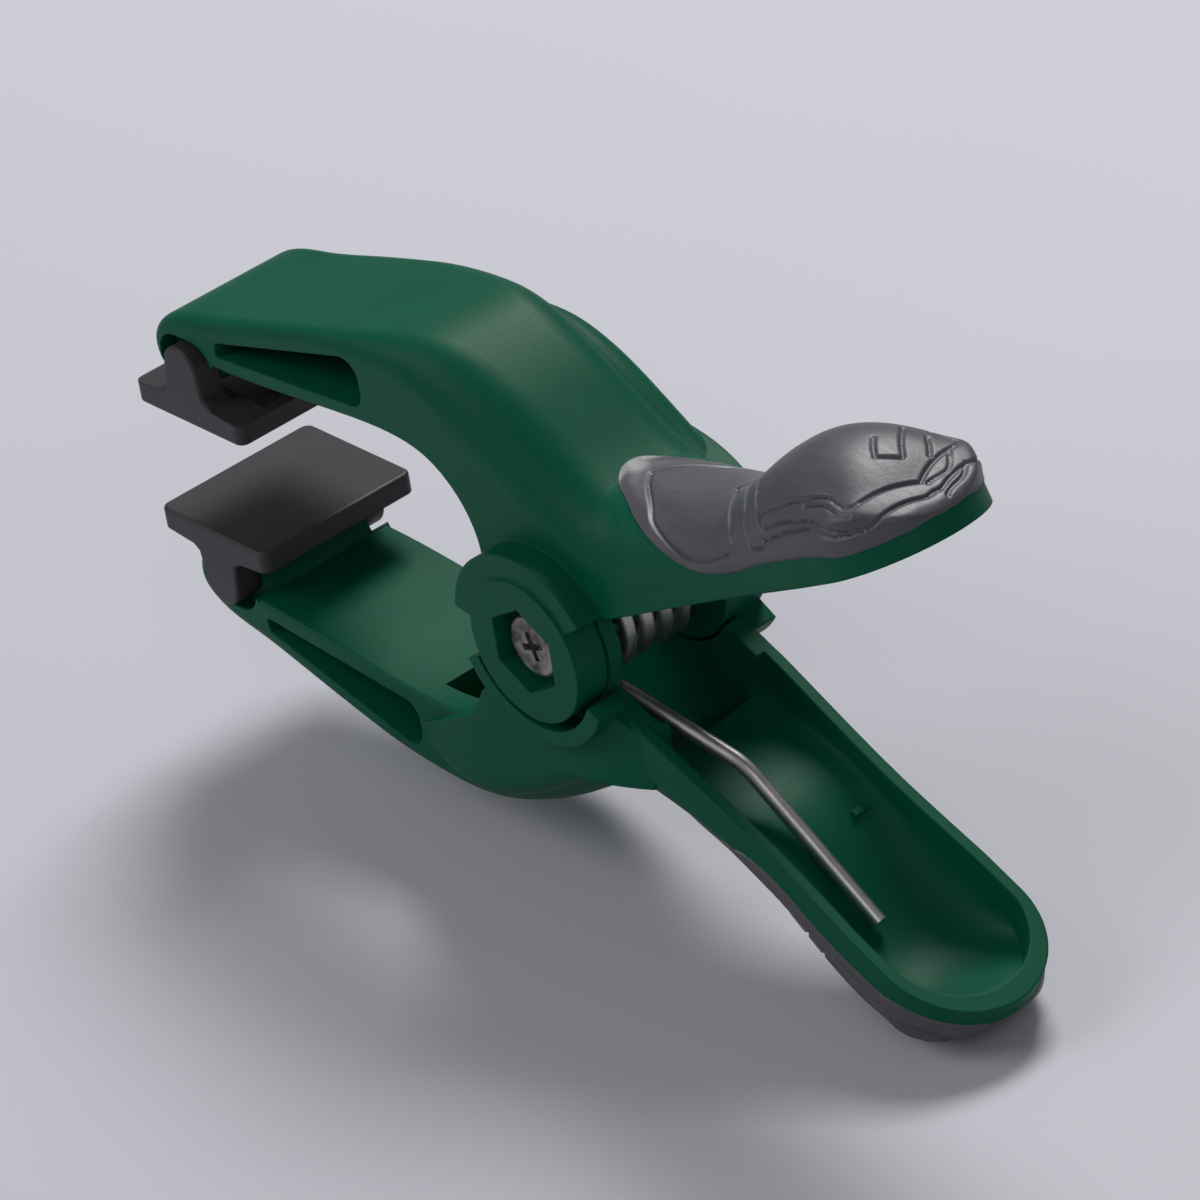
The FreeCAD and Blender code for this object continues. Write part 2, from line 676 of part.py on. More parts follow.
def build_pad(label, place):
    """A jaw pad: plate with a raised border, end blocks, ears and snap-in studs.
    Its origin is on the stud axis, and the clamping face looks down."""
    body = doc.addObject("PartDesign::Body", label)
    body.Label = label
    face = [("pad_axis_to_face", -1.0)]
    half_length = [("pad_length", 0.5)]
    half_width = [("pad_width", 0.5)]
    border_top = face + [("pad_plate", 1.0), ("pad_border_height", 1.0)]
    block_top = face + [("pad_block_height", 1.0)]
    shoulder = block_top + [("pad_block_slope", -1.0)]
    foot = [("ear_foot_width", 0.5)]
    hip = [("ear_hip_width", 0.5)]
    hip_height = block_top + [("ear_hip_height", 1.0)]

    sketch = add_sketch(body, label + "_plan", "XY_Plane", face)
    add_rectangle(sketch, half_length, half_width)
    thickness = [("pad_plate", 1.0), ("pad_border_height", 1.0)]
    add_feature(body, "Pad", label + "_plate", sketch, thickness)
    sketch = add_sketch(body, label + "_back", "XY_Plane", border_top)
    add_rectangle(sketch, half_length + [("pad_border_width", -1.0)],
                  half_width + [("pad_block_width", -1.0)])
    add_feature(body, "Pocket", label + "_hollow", sketch, [("pad_border_height", 1.0)])

    sketch = add_sketch(body, label + "_end", "XZ_Plane", half_width)
    add_outline(sketch, [(less(half_length), face), (half_length, face), (half_length, shoulder),
                         (foot, block_top), (less(foot), block_top), (less(half_length), shoulder)])
    block = add_feature(body, "Pad", label + "_block", sketch, [("pad_block_width", 1.0)], inward=True)
    sketch = add_sketch(body, label + "_bell", "XZ_Plane", half_width)
    add_bell(sketch, "ear_top_radius", [(less(hip), hip_height), (less(foot), block_top),
                                        (foot, block_top), (hip, hip_height)])
    ear = add_feature(body, "Pad", label + "_ear", sketch, [("ear_thickness", 1.0)], inward=True)
    sketch = add_sketch(body, label + "_pin", "XZ_Plane", half_width + [("ear_thickness", -1.0)])
    add_disc(sketch, "stud_diameter")
    stud = add_feature(body, "Pad", label + "_stud", sketch, [("stud_length", 1.0)], inward=True)
    pair = body.newObject("PartDesign::Mirrored", label + "_pair")
    pair.Originals = [block, ear, stud]
    pair.MirrorPlane = (plane_of(body, "XZ_Plane"), [""])
    body.Tip = pair

    side = worth(half_length)
    end = worth(half_width)
    under = worth(face)
    hips = worth(block_top) + 0.1
    add_rounding(body, label + "_corners", "pad_corner_round", lambda edge: (
        edge.BoundBox.XLength + edge.BoundBox.YLength < 1e-6
        and abs(abs(edge.CenterOfMass.x) - side) + abs(abs(edge.CenterOfMass.y) - end) < 1e-6))
    add_rounding(body, label + "_rim", "pad_edge_round", lambda edge: (
        edge.BoundBox.ZLength < 1e-6 and abs(edge.CenterOfMass.z - under) < 1e-6))
    add_rounding(body, label + "_brow", "pad_edge_round", lambda edge: (
        edge.BoundBox.YLength < 1e-6 and abs(abs(edge.CenterOfMass.y) - end) < 1e-6
        and edge.CenterOfMass.z > hips))
    body.Placement = place
    return body


upper_pad_axis = Vector(0, 0, half_gap + axis_height)
lower_pad_axis = Vector(0, 0, half_gap - axis_height)
nodes.append(build_pad("upper_jaw_pad", Placement(upper_pad_axis, Rotation())))
nodes.append(build_pad("lower_jaw_pad", Placement(lower_pad_axis, Rotation(Vector(1, 0, 0), 180))))


def build_fastener(label, tube, place):
    """One half of the pivot: a low round head with a cross recess, over a plain
    shank or a tube. The seat of the head is the origin, and the shank points down."""
    body = doc.addObject("PartDesign::Body", label)
    body.Label = label
    axis = []
    head = [("pin_head_diameter", 0.5)]
    top = [("pin_head_height", 1.0)]
    shank = [("screw_diameter", 0.5)]
    bore = shank + [("screw_play", 1.0)]
    sleeve = [("pin_diameter", 0.5)]
    tube_end = [("jaw_width", -1.0), ("boss_rise", -2.0), ("hex_depth", 2.0)]
    bore_end = tube_end + [("screw_length", 1.0), ("bore_play", 1.0)]
    screw_end = [("screw_length", -1.0)]
    corners = [(axis, top), (head, top), (head, axis)]
    if tube:
        corners += [(sleeve, axis), (sleeve, tube_end), (bore, tube_end), (bore, bore_end), (axis, bore_end)]
    else:
        corners += [(shank, axis), (shank, screw_end), (axis, screw_end)]
    sketch = add_sketch(body, label + "_profile", "XZ_Plane")
    add_outline(sketch, corners)
    turned = body.newObject("PartDesign::Revolution", label + "_turned")
    turned.Profile = sketch
    turned.ReferenceAxis = (sketch, ["V_Axis"])
    turned.Angle = 360.0
    crest = worth(top) - 1e-6
    add_rounding(body, label + "_crown", "pin_head_round",
                 lambda edge: len(edge.Vertexes) == 1 and edge.CenterOfMass.z > crest)
    sketch = add_sketch(body, label + "_slot", "XY_Plane", top)
    add_rectangle(sketch, [("cross_length", 0.5)], [("cross_width", 0.5)])
    slot = add_feature(body, "Pocket", label + "_cut", sketch, [("cross_depth", 1.0)])
    cross = body.newObject("PartDesign::PolarPattern", label + "_cross")
    cross.Originals = [slot]
    cross.Axis = (plane_of(body, "Z_Axis"), [""])
    cross.Angle = 90.0
    cross.Occurrences = 2
    body.Tip = cross
    doc.recompute()
    if body.Shape.Volume > turned.Shape.Volume - 1.0:
        raise RuntimeError(label + " has no cross recess")
    body.Placement = place
    return body


def tangent_arc(start, corner, end):
    """Arc from start to end whose tangents meet at the corner, equally far off."""
    middle = (start + end) * 0.5
    half = (corner - start).getAngle(end - corner) / 2.0
    share = math.cos(half) / (1.0 + math.cos(half))
    return arc_through(start, middle + (corner - middle) * share, end)


def biarc(start, start_dir, end, end_dir):
    """Two arcs that join two points with given directions."""
    chord = end - start
    both = start_dir + end_dir
    a = 2.0 * (start_dir.dot(end_dir) - 1.0)
    b = -2.0 * chord.dot(both)
    c = chord.dot(chord)
    reach = c / -b if abs(a) < 1e-9 else (-b - math.sqrt(b * b - 4.0 * a * c)) / (2.0 * a)
    first = start + start_dir * reach
    last = end - end_dir * reach
    joint = (first + last) * 0.5
    return [tangent_arc(start, first, joint), tangent_arc(joint, last, end)]


def leg_path(coil_end, along):
    """The lower leg, from its cut end on the handle's floor through its bend to
    where the coil starts."""
    reach = size("leg_reach")
    rest = rim_point(reach, floor_height(reach) - size("wire_diameter") / 2.0 - size("leg_play"))
    turn = Rotation(Vector(0, 1, 0), -swing)
    tip = turn.multVec(Vector(rest.x, -size("leg_tip_offset"), -rest.z))
    bend = turn.multVec(Vector(size("leg_bend_reach"), -size("leg_bend_offset"), -size("leg_bend_drop")))
    start = coil_end + along * (2.0 * size("wire_diameter"))
    route = [tip, bend, start, coil_end]
    edges = []
    here = tip
    for index, radius in ((1, size("leg_bend_radius")), (2, 2.5 * size("leg_bend_radius"))):
        corner = route[index]
        back = (route[index - 1] - corner).normalize()
        ahead = (route[index + 1] - corner).normalize()
        reach = radius / math.tan(back.getAngle(ahead) / 2.0)
        edges.append(line(here, corner + back * reach))
        edges.append(tangent_arc(corner + back * reach, corner, corner + ahead * reach))
        here = corner + ahead * reach
    edges.append(line(here, coil_end))
    return edges


def build_spring():
    """Torsion spring, one unbroken wire: leg, turns about the pivot, leg."""
    radius = size("coil_radius")
    wire = size("wire_diameter")
    steps = int(round(size("coil_turns") * 4))
    half_coil = ear_face - size("coil_play") - wire / 2.0
    pitch = 2.0 * half_coil / size("coil_turns")
    slope = pitch / (2.0 * math.pi * radius)
    points = []
    ways = []
    for index in range(steps + 1):
        angle = math.radians(-90.0 - 360.0 * size("coil_turns") * index / steps)
        y = half_coil * (2.0 * index / steps - 1.0)
        points.append(Vector(radius * math.cos(angle), y, radius * math.sin(angle)))
        ways.append(Vector(math.sin(angle), slope, -math.cos(angle)).normalize())
    first = leg_path(points[0], ways[0] * -1.0)
    edges = list(first)
    for index in range(steps):
        edges += biarc(points[index], ways[index], points[index + 1], ways[index + 1])
    turned = Matrix()
    turned.rotateX(math.pi)
    for edge in reversed(first):
        other = edge.copy()
        other.transformShape(turned)
        edges.append(other)
    path = Part.Wire(edges)
    tip = path.OrderedVertexes[0].Point
    direction = (edges[0].valueAt(edges[0].FirstParameter + 0.1) - tip).normalize()
    ring = Part.Wire(Part.makeCircle(wire / 2.0, tip, direction))
    sweep = Part.BRepOffsetAPI.MakePipeShell(path)
    sweep.add(ring, False, False)
    sweep.build()
    sweep.makeSolid()
    marks = path.discretize(Distance=0.8)
    least = min((marks[i] - marks[k]).Length for i in range(len(marks))
                for k in range(i + 12, len(marks)))
    print("spring: least gap to itself %.2f mm, wire length %.1f mm" % (least - wire, path.Length))
    return sweep.shape()


nodes.append(add_moulding("torsion_spring", build_spring(), Placement(pivot, Rotation())))
seat = boss_face - size("hex_depth")
for label, tube, way, twist in (("pivot_screw", False, -1, 20.0), ("pivot_barrel_nut", True, 1, 50.0)):
    facing = Rotation(Vector(1, 0, 0), -90.0 * way).multiply(Rotation(Vector(0, 0, 1), twist))
    nodes.append(build_fastener(label, tube, Placement(pivot + Vector(0, way * seat, 0), facing)))

doc.recompute()
for obj in doc.Objects:
    if "Invalid" in obj.State or "Error" in obj.State:
        raise RuntimeError("%s is %s" % (obj.Name, obj.State))
for node in nodes:
    shape = node.Shape
    if shape.isNull() or not shape.isValid():
        raise RuntimeError("%s has no valid shape" % node.Label)
    print(node.Label, len(shape.Solids), "solid", round(shape.Volume), "mm3")
    shape.exportStep("parts/%s.step" % node.Label)
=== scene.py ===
import math
import bpy
from mathutils import Matrix, Quaternion, Vector
from mathutils.bvhtree import BVHTree
from mathutils.kdtree import KDTree


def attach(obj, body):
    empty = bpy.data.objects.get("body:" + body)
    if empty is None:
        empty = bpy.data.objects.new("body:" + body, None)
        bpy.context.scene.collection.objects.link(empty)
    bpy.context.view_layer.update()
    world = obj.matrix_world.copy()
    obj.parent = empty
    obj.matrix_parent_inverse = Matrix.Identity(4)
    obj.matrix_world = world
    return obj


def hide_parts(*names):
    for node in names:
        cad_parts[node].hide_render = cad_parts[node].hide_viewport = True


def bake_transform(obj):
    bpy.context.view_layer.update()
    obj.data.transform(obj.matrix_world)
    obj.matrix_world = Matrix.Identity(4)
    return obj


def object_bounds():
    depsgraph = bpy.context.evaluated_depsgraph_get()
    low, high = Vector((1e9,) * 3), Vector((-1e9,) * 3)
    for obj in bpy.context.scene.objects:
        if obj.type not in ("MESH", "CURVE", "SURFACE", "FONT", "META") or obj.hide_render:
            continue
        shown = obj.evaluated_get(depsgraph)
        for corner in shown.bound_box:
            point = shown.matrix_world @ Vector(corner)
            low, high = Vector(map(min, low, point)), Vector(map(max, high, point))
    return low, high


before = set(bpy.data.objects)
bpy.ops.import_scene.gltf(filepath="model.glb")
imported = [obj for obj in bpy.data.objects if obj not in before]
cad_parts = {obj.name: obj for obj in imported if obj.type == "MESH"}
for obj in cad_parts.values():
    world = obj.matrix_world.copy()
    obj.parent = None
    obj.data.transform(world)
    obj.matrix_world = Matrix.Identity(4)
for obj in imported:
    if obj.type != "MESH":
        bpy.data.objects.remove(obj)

cad_low, cad_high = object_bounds()

# The view: the clamp seen from above its handle end, with the near side of the
# pivot towards the camera, as it stands with its pads 23 mm apart. The camera
# stays at EYE and is turned from its measured direction to look at AIM.
EYE = Vector((0.8782, -0.5978, 0.6120))
EYE_RIGHT = Vector((0.65253, 0.74346, -0.14654))
EYE_AHEAD = Vector((-0.71047, 0.53301, -0.45949))
AIM = Vector((0.0905, 0.0, 0.0085))
LENS = 196.0
SENSOR = 36.0
NEAREST = 0.05
FARTHEST = 20.0

ahead = (AIM - EYE).normalized()
swing = EYE_AHEAD.rotation_difference(ahead)
right = (swing @ EYE_RIGHT).normalized()
up = right.cross(ahead).normalized()
camera_data = bpy.data.cameras.new("camera")
camera_data.lens = LENS
camera_data.sensor_width = SENSOR
camera_data.clip_start = NEAREST
camera_data.clip_end = FARTHEST
camera = bpy.data.objects.new("camera", camera_data)
camera.matrix_world = Matrix((
    (right.x, up.x, -ahead.x, EYE.x),
    (right.y, up.y, -ahead.y, EYE.y),
    (right.z, up.z, -ahead.z, EYE.z),
    (0.0, 0.0, 0.0, 1.0)))
bpy.context.scene.collection.objects.link(camera)
bpy.context.scene.camera = camera
bpy.context.scene.view_settings.view_transform = "Standard"


# The arms: one glass-filled nylon moulding used twice, dark green, with the fine
# spark-eroded grain of its mould and slightly rounded edges.
COLOUR_A, COLOUR_B, MIXED_COLOUR = 6, 7, 2  # the colour sockets of a Mix node


def feed(target, value):
    """Link a socket to a Shade, or set it to a plain value."""
    if isinstance(value, Shade):
        value.tree.links.new(value.socket, target)
    else:
        target.default_value = value


class Shade:
    """A value in a material's nodes. Plain arithmetic on it adds Math nodes."""

    def __init__(self, tree, socket=None):
        self.tree = tree
        self.socket = socket

    def node(self, kind, settings=None, inputs=None, output=0):
        made = self.tree.nodes.new(kind)
        for name, value in (settings or {}).items():
            setattr(made, name, value)
        for name, value in (inputs or {}).items():
            feed(made.inputs[name], value)
        return Shade(self.tree, made.outputs[output])

    def maths(self, operation, first, second):
        return self.node("ShaderNodeMath", {"operation": operation}, {0: first, 1: second})

    def __add__(self, other):
        return self.maths("ADD", self, other)

    __radd__ = __add__

    def __mul__(self, other):
        return self.maths("MULTIPLY", self, other)

    __rmul__ = __mul__

    def __sub__(self, other):
        return self.maths("SUBTRACT", self, other)

    def __rsub__(self, other):
        return self.maths("SUBTRACT", other, self)

    def clamp(self):
        return self.node("ShaderNodeClamp", None, {"Value": self})

    def mix(self, low, high):
        """The colour low where this is 0 and high where it is 1."""
        return self.node("ShaderNodeMix", {"data_type": "RGBA"},
                         {"Factor": self, COLOUR_A: low, COLOUR_B: high}, MIXED_COLOUR)


def finish_of(name, metallic=0.0, specular=0.5):
    """A new material, its shader node, and the coordinates that its patterns lie on."""
    material = bpy.data.materials.new(name)
    material.use_nodes = True
    tree = material.node_tree
    shader = tree.nodes["Principled BSDF"]
    shader.inputs["Metallic"].default_value = metallic
    shader.inputs["Specular IOR Level"].default_value = specular
    return material, shader, Shade(tree).node("ShaderNodeTexCoord", output="Object")


def linear(red, green, blue):
    """A colour given by its screen values, 0 to 255."""
    channels = []
    for value in (red, green, blue):
        share = value / 255.0
        channels.append(share / 12.92 if share <= 0.04045 else ((share + 0.055) / 1.055) ** 2.4)
    return (*channels, 1.0)


def grain(coords, scale, detail):
    """Noise from 0 to 1, finer with a greater scale."""
    return coords.node("ShaderNodeTexNoise", None,
                       {"Vector": coords, "Scale": scale, "Detail": detail})


def rounded_edges(coords, radius):
    """Normals that round a piece's edges."""
    return coords.node("ShaderNodeBevel", {"samples": 6}, {"Radius": radius})


def bumped(height, strength, distance, normals=None):
    """Normals with a fine relief, laid over others where they are given."""
    inputs = {"Strength": strength, "Distance": distance, "Height": height}
    if normals:
        inputs["Normal"] = normals
    return height.node("ShaderNodeBump", None, inputs)


def coat(obj, material):
    obj.data.materials.clear()
    obj.data.materials.append(material)


GREEN = linear(0, 86, 61)
GREEN_DEEP = linear(0, 77, 54)
NYLON_SHEEN = 0.12
NYLON_ROUGH = 0.4
NYLON_PATCHES = 38.0
NYLON_GRAIN = 2600.0
NYLON_FLOW = 90.0
NYLON_RELIEF = 0.22
MOULD_DEPTH = 0.00006
ARM_EDGE = 0.0006

nylon, shader, coords = finish_of("green_nylon", specular=NYLON_SHEEN)
fine = grain(coords, NYLON_GRAIN, 1.0)
flow = grain(coords, NYLON_FLOW, 2.0)
feed(shader.inputs["Base Color"], grain(coords, NYLON_PATCHES, 3.0).mix(GREEN_DEEP, GREEN))
feed(shader.inputs["Roughness"], NYLON_ROUGH + fine * 0.08 + flow * 0.08)
feed(shader.inputs["Normal"],
     bumped(fine, NYLON_RELIEF, MOULD_DEPTH, rounded_edges(coords, ARM_EDGE)))
for name in ("upper_arm", "lower_arm"):
    coat(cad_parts[name], nylon)


# The grips: soft dark grey rubber moulded over the handles' backs. Each covers the
# crown and both flanks down to a plain border. Cut lines sweep round the flanks
# inside that border, and short cuts run across the crown near its tip.
PIVOT = Vector((0.096, 0.0, 0.0115))
HALF_TURN = (Matrix.Translation(PIVOT) @ Matrix.Rotation(math.pi, 4, "X")
             @ Matrix.Translation(-PIVOT))

# The handle's axis starts above the pivot. Places on its skin are given by their
# reach along it in millimetres and their turn round it in degrees, 0 at the crown.
# Past the reach where the tip begins, the reach is measured round the tip's curve.
MM = 0.001
SLOPE = math.radians(26.0)
ALONG = Vector((math.cos(SLOPE), 0.0, math.sin(SLOPE)))
OUT = Vector((-math.sin(SLOPE), 0.0, math.cos(SLOPE)))
NEAR = Vector((0.0, -1.0, 0.0))
AXIS_FOOT = Vector((0.096, 0.0, 0.013)) + OUT * MM
TIP_START = 87.0
TIP_RADIUS = 17.0
WIDEST_TURN = 86.0
CAST_FROM = 0.06

# The border's edge, the cuts that each flank has, and the cuts across the crown.
BORDER = [
    (21.4, 0), (21.8, 7), (23.6, 15), (28.4, 27), (32.9, 39), (39.6, 55), (46.9, 68),
    (53.0, 75), (61.1, 77), (69.4, 75), (77.7, 75), (86.2, 76), (89.8, 78), (92.8, 79),
    (96.7, 78), (101.3, 75), (106.0, 66), (109.0, 45), (110.2, 25), (110.5, 0)]
PAIRED_CUTS = [
    [(26.0, 0), (28.5, 9), (33.3, 25), (36.6, 39), (41.7, 52), (47.0, 62), (51.7, 67),
     (56.5, 68), (61.7, 66)],
    [(48.5, 0), (53.5, 18), (61.0, 48), (63.1, 61)],
    [(54.5, 0), (58.5, 15), (65.6, 39), (68.0, 55), (69.9, 66), (73.0, 66)],
    [(59.5, 0), (64.0, 15), (69.5, 36), (73.8, 60)],
    [(72.0, 49), (76.2, 47), (82.8, 46), (90.1, 45), (93.0, 49), (95.4, 52), (97.2, 45),
     (101.5, 18), (103.7, 0)],
    [(86.3, 49), (90.6, 50), (93.4, 55), (95.7, 57)],
    [(73.0, 57), (78.1, 55), (84.7, 56), (88.9, 58), (93.5, 65), (97.0, 64), (100.1, 60),
     (106.2, 23), (106.9, 0)],
    [(73.4, 63), (79.7, 61), (87.2, 61), (91.1, 66), (93.9, 68), (97.9, 66)]]
CROWN_CUTS = [
    [(89.2, -7), (91.2, 0), (93.2, 6)],
    [(93.4, 7), (95.2, 0), (96.8, -7)],
    [(88.7, -29), (92.8, -18), (96.5, -9)],
    [(93.2, -36), (96.2, -32), (98.6, -28)],
    [(97.4, -44), (102.9, -35), (104.7, -5)],
    [(101.3, -52), (105.3, -44), (108.6, -13)]]
CUT_DEPTH = 0.55 * MM
CUT_HALF_WIDTH = 0.64 * MM
BORDER_WIDTH = 3.0 * MM
BORDER_PROUD = 0.3 * MM
LINE_STEPS = 16
LINE_SPACING = 0.2 * MM

# The grip's mesh starts short of its edge and ends past it, and sinks into the
# nylon there. COVER is the rubber left under the deepest cut.
GRIP_END = 112.6
GRIP_CELLS = (300, 150)
START_MARGIN = 1.8
HUB_TURN = 74.0
COVER = 0.12 * MM
SUNK = -0.5 * MM
FALL = 0.5 * MM
SKIN_THICK = 0.7 * MM
SKIN_ROUNDS = 16
LIFT_ROUNDS = 90
SMOOTH_BELOW = math.radians(60.0)


def skin_of(name):
    """A tree of one CAD node's faces, to find the handle's outer skin with."""
    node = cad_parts[name]
    return BVHTree.FromPolygons([node.matrix_world @ vertex.co for vertex in node.data.vertices],
                                [tuple(face.vertices) for face in node.data.polygons])


arm_skin = skin_of("upper_arm")
grip_skin = skin_of("upper_grip")


def handle_ray(reach, turn):
    """The start on the handle's axis of the ray through a place of the skin, and its way."""
    straight = min(reach, TIP_START)
    lean = (reach - straight) / TIP_RADIUS
    side = math.radians(turn)
    way = ALONG * math.sin(lean) + (OUT * math.cos(side) + NEAR * math.sin(side)) * math.cos(lean)
    return AXIS_FOOT + ALONG * straight * MM, way


def skin_point(reach, turn, skins=(arm_skin, grip_skin)):
    """The outermost point of the handle at a place, or of one of its two skins."""
    start, way = handle_ray(reach, turn)
    outside = start + way * CAST_FROM
    hits = [skin.ray_cast(outside, -way)[0] for skin in skins]
    return max((hit for hit in hits if hit is not None), key=lambda hit: (hit - start).length)


def swept(points):
    """Points of the smooth line through a few places."""
    ends = [points[0]] + points + [points[-1]]
    line = []
    for first, second, third, fourth in zip(ends, ends[1:], ends[2:], ends[3:]):
        for step in range(LINE_STEPS):
            t = step / LINE_STEPS
            line.append(tuple(
                0.5 * (2.0 * b + (c - a) * t + (2.0 * a - 5.0 * b + 4.0 * c - d) * t ** 2
                       + (3.0 * b - a - 3.0 * c + d) * t ** 3)
                for a, b, c, d in zip(first, second, third, fourth)))
    return line + [tuple(points[-1])]


def mirrored(line):
    """The same line on the other flank."""
    return [(reach, -turn) for reach, turn in line]


def finder(lines):
    """A tree that finds the distance from a place to the nearest of some lines on the skin."""
    places = []
    for line in lines:
        ends = [skin_point(reach, turn) for reach, turn in line]
        for near_end, far_end in zip(ends, ends[1:]):
            count = max(1, int((far_end - near_end).length / LINE_SPACING))
            places += [near_end.lerp(far_end, step / count) for step in range(count)]
        places.append(ends[-1])
    tree = KDTree(len(places))
    for index, place in enumerate(places):
        tree.insert(place, index)
    tree.balance()
    return tree


def read_off(line, value, column):
    """The other number of a line's places where the given column first passes a value."""
    for low, high in zip(line, line[1:]):
        if low[column] <= value <= high[column] and high[column] > low[column]:
            share = (value - low[column]) / (high[column] - low[column])
            return low[1 - column] + share * (high[1 - column] - low[1 - column])
    return None


def smooth_step(value):
    """0 up to 0, 1 from 1 on, and an even curve between them."""
    value = min(max(value, 0.0), 1.0)
    return value * value * (3.0 - 2.0 * value)


class Outline:
    """A closed edge on the handle's skin, the same on both flanks."""

    def __init__(self, points):
        self.line = swept(points)
        self.tree = finder([self.line, mirrored(self.line)])

    def hub_reach(self, turn):
        """Where the edge starts at a turn. Past HUB_TURN it starts as it does there."""
        return read_off(self.line, min(abs(turn), HUB_TURN), 1)

    def inside(self, reach, turn, place):
        """How far a place lies inside the edge, below 0 outside it."""
        width = read_off(self.line, reach, 0)
        away = self.tree.find(place)[2]
        return away if width is not None and abs(turn) < width else -away


border = Outline(BORDER)
cuts = finder([swept(line) for line in PAIRED_CUTS + CROWN_CUTS]
              + [mirrored(swept(line)) for line in PAIRED_CUTS])


def grip_height(reach, turn, place):
    """How far the rubber stands above the handle's skin: proud at the border, low in the cuts."""
    inside = border.inside(reach, turn, place)
    proud = BORDER_PROUD * (1.0 - smooth_step(inside / BORDER_WIDTH - 0.5))
    return proud - CUT_DEPTH * (1.0 - smooth_step(cuts.find(place)[2] / CUT_HALF_WIDTH))


def eased(values, beside, rounds):
    """Values on a grid's points, each drawn towards its neighbours' mean, with the rim kept."""
    for _ in range(rounds):
        values = [0.5 * (value + sum(values[other] for other in near) / 4.0)
                  if len(near) == 4 else value
                  for value, near in zip(values, beside)]
    return values


def handle_cover(name, outline, inside_of, end, cells, height, deepest):
    """A body that fills its seat on the upper handle. Past its edge it sinks into the nylon,
    and inside that it's lifted where its deepest cut would reach the nylon."""
    bpy.ops.object.select_all(action="DESELECT")
    bpy.ops.mesh.primitive_grid_add(x_subdivisions=cells[0], y_subdivisions=cells[1], size=2.0)
    cover = bpy.context.view_layer.objects.active
    cover.name = name
    places = []
    for vertex in cover.data.vertices:
        turn = -WIDEST_TURN * vertex.co.y
        start = outline.hub_reach(turn) - START_MARGIN
        places.append((start + (end - start) * (vertex.co.x + 1.0) / 2.0, turn))
    beside = [[] for place in places]
    for edge in cover.data.edges:
        for one, other in (edge.vertices, reversed(edge.vertices)):
            beside[one].append(other)
    rays = [handle_ray(*place) for place in places]
    nylon_spans = [(skin_point(*place, skins=(arm_skin,)) - start).length
                   for place, (start, way) in zip(places, rays)]
    spans = eased([(skin_point(*place) - start).length
                   for place, (start, way) in zip(places, rays)], beside, SKIN_ROUNDS)
    lifts = eased([max(nylon_span + deepest - span, 0.0)
                   for nylon_span, span in zip(nylon_spans, spans)], beside, LIFT_ROUNDS)
    seats = []
    for vertex, place, (start, way), span, nylon_span, lift in zip(
            cover.data.vertices, places, rays, spans, nylon_spans, lifts):
        skin = start + way * span
        inside = inside_of(*place, skin)
        span += height(*place, skin) + lift * smooth_step(inside / BORDER_WIDTH)
        if inside < 0.0:
            span += (nylon_span + SUNK - span) * smooth_step(-inside / FALL)
        elif deepest:
            span = max(span, nylon_span + COVER)
        vertex.co = start + way * span
        seats.append(start + way * min(span - SKIN_THICK, nylon_span))

    # Solidify adds the inner wall's points in the same order, and they go on the seat.
    bpy.ops.object.modifier_add(type="SOLIDIFY")
    cover.modifiers[-1].thickness = SKIN_THICK
    cover.modifiers[-1].offset = -1.0
    bpy.ops.object.modifier_apply(modifier=cover.modifiers[-1].name)
    for vertex, seat in zip(cover.data.vertices[len(seats):], seats):
        vertex.co = seat
    bpy.ops.object.shade_smooth_by_angle(angle=SMOOTH_BELOW)
    return cover


def half_turned(piece, name):
    """A copy of a piece, with its own mesh, for the other handle."""
    copy = piece.copy()
    copy.data = piece.data.copy()
    copy.name = name
    copy.data.transform(HALF_TURN)
    bpy.context.scene.collection.objects.link(copy)
    return copy


RUBBER = linear(62, 62, 68)
RUBBER_WORN = linear(84, 84, 90)
RUBBER_ROUGH = 0.3
RUBBER_GRAIN = 1800.0
RUBBER_PATCHES = 60.0
RUB_MARKS = 420.0
RUB_STRETCH = (0.3, 1.6, 1.0)
RUBBER_RELIEF = 0.3
RUBBER_DEPTH = 0.00008

rubber, shader, coords = finish_of("grip_rubber")
fine = grain(coords, RUBBER_GRAIN, 2.0)
broad = grain(coords, RUBBER_PATCHES, 3.0)
along_handle = coords.node("ShaderNodeMapping", None, {
    "Vector": coords, "Rotation": (0.0, SLOPE, 0.0), "Scale": RUB_STRETCH})
rubbed = grain(along_handle, RUB_MARKS, 3.0)
feed(shader.inputs["Base Color"], (broad * 0.5 + rubbed * 0.5).mix(RUBBER, RUBBER_WORN))
feed(shader.inputs["Roughness"], RUBBER_ROUGH + fine * 0.08 + rubbed * 0.2)
feed(shader.inputs["Normal"], bumped(fine + rubbed * 0.6, RUBBER_RELIEF, RUBBER_DEPTH))

upper_grip = handle_cover("upper_grip_rubber", border, border.inside, GRIP_END, GRIP_CELLS,
                          grip_height, CUT_DEPTH + COVER)
coat(upper_grip, rubber)
lower_grip = half_turned(upper_grip, "lower_grip_rubber")
for piece, body, node in ((upper_grip, "upper_side", "upper_grip"),
                          (lower_grip, "lower_side", "lower_grip")):
    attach(piece, body)
    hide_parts(node)


# The shoulders: the arms' own green nylon beside the hub end of each grip. They
# fill the corners of the grip's seat that its border doesn't reach, level with the
# handle round them, and are part of the same moulding.
SEAT = [
    (23.6, 0), (24.0, 20), (26.0, 31), (29.2, 46), (32.0, 62), (34.0, 78), (43.0, 77),
    (48.0, 75), (56.0, 72)]
SHOULDER_PROUD = 0.03 * MM
SHOULDER_END = 57.0
SHOULDER_CELLS = (100, 120)

seat_edge = Outline(SEAT)


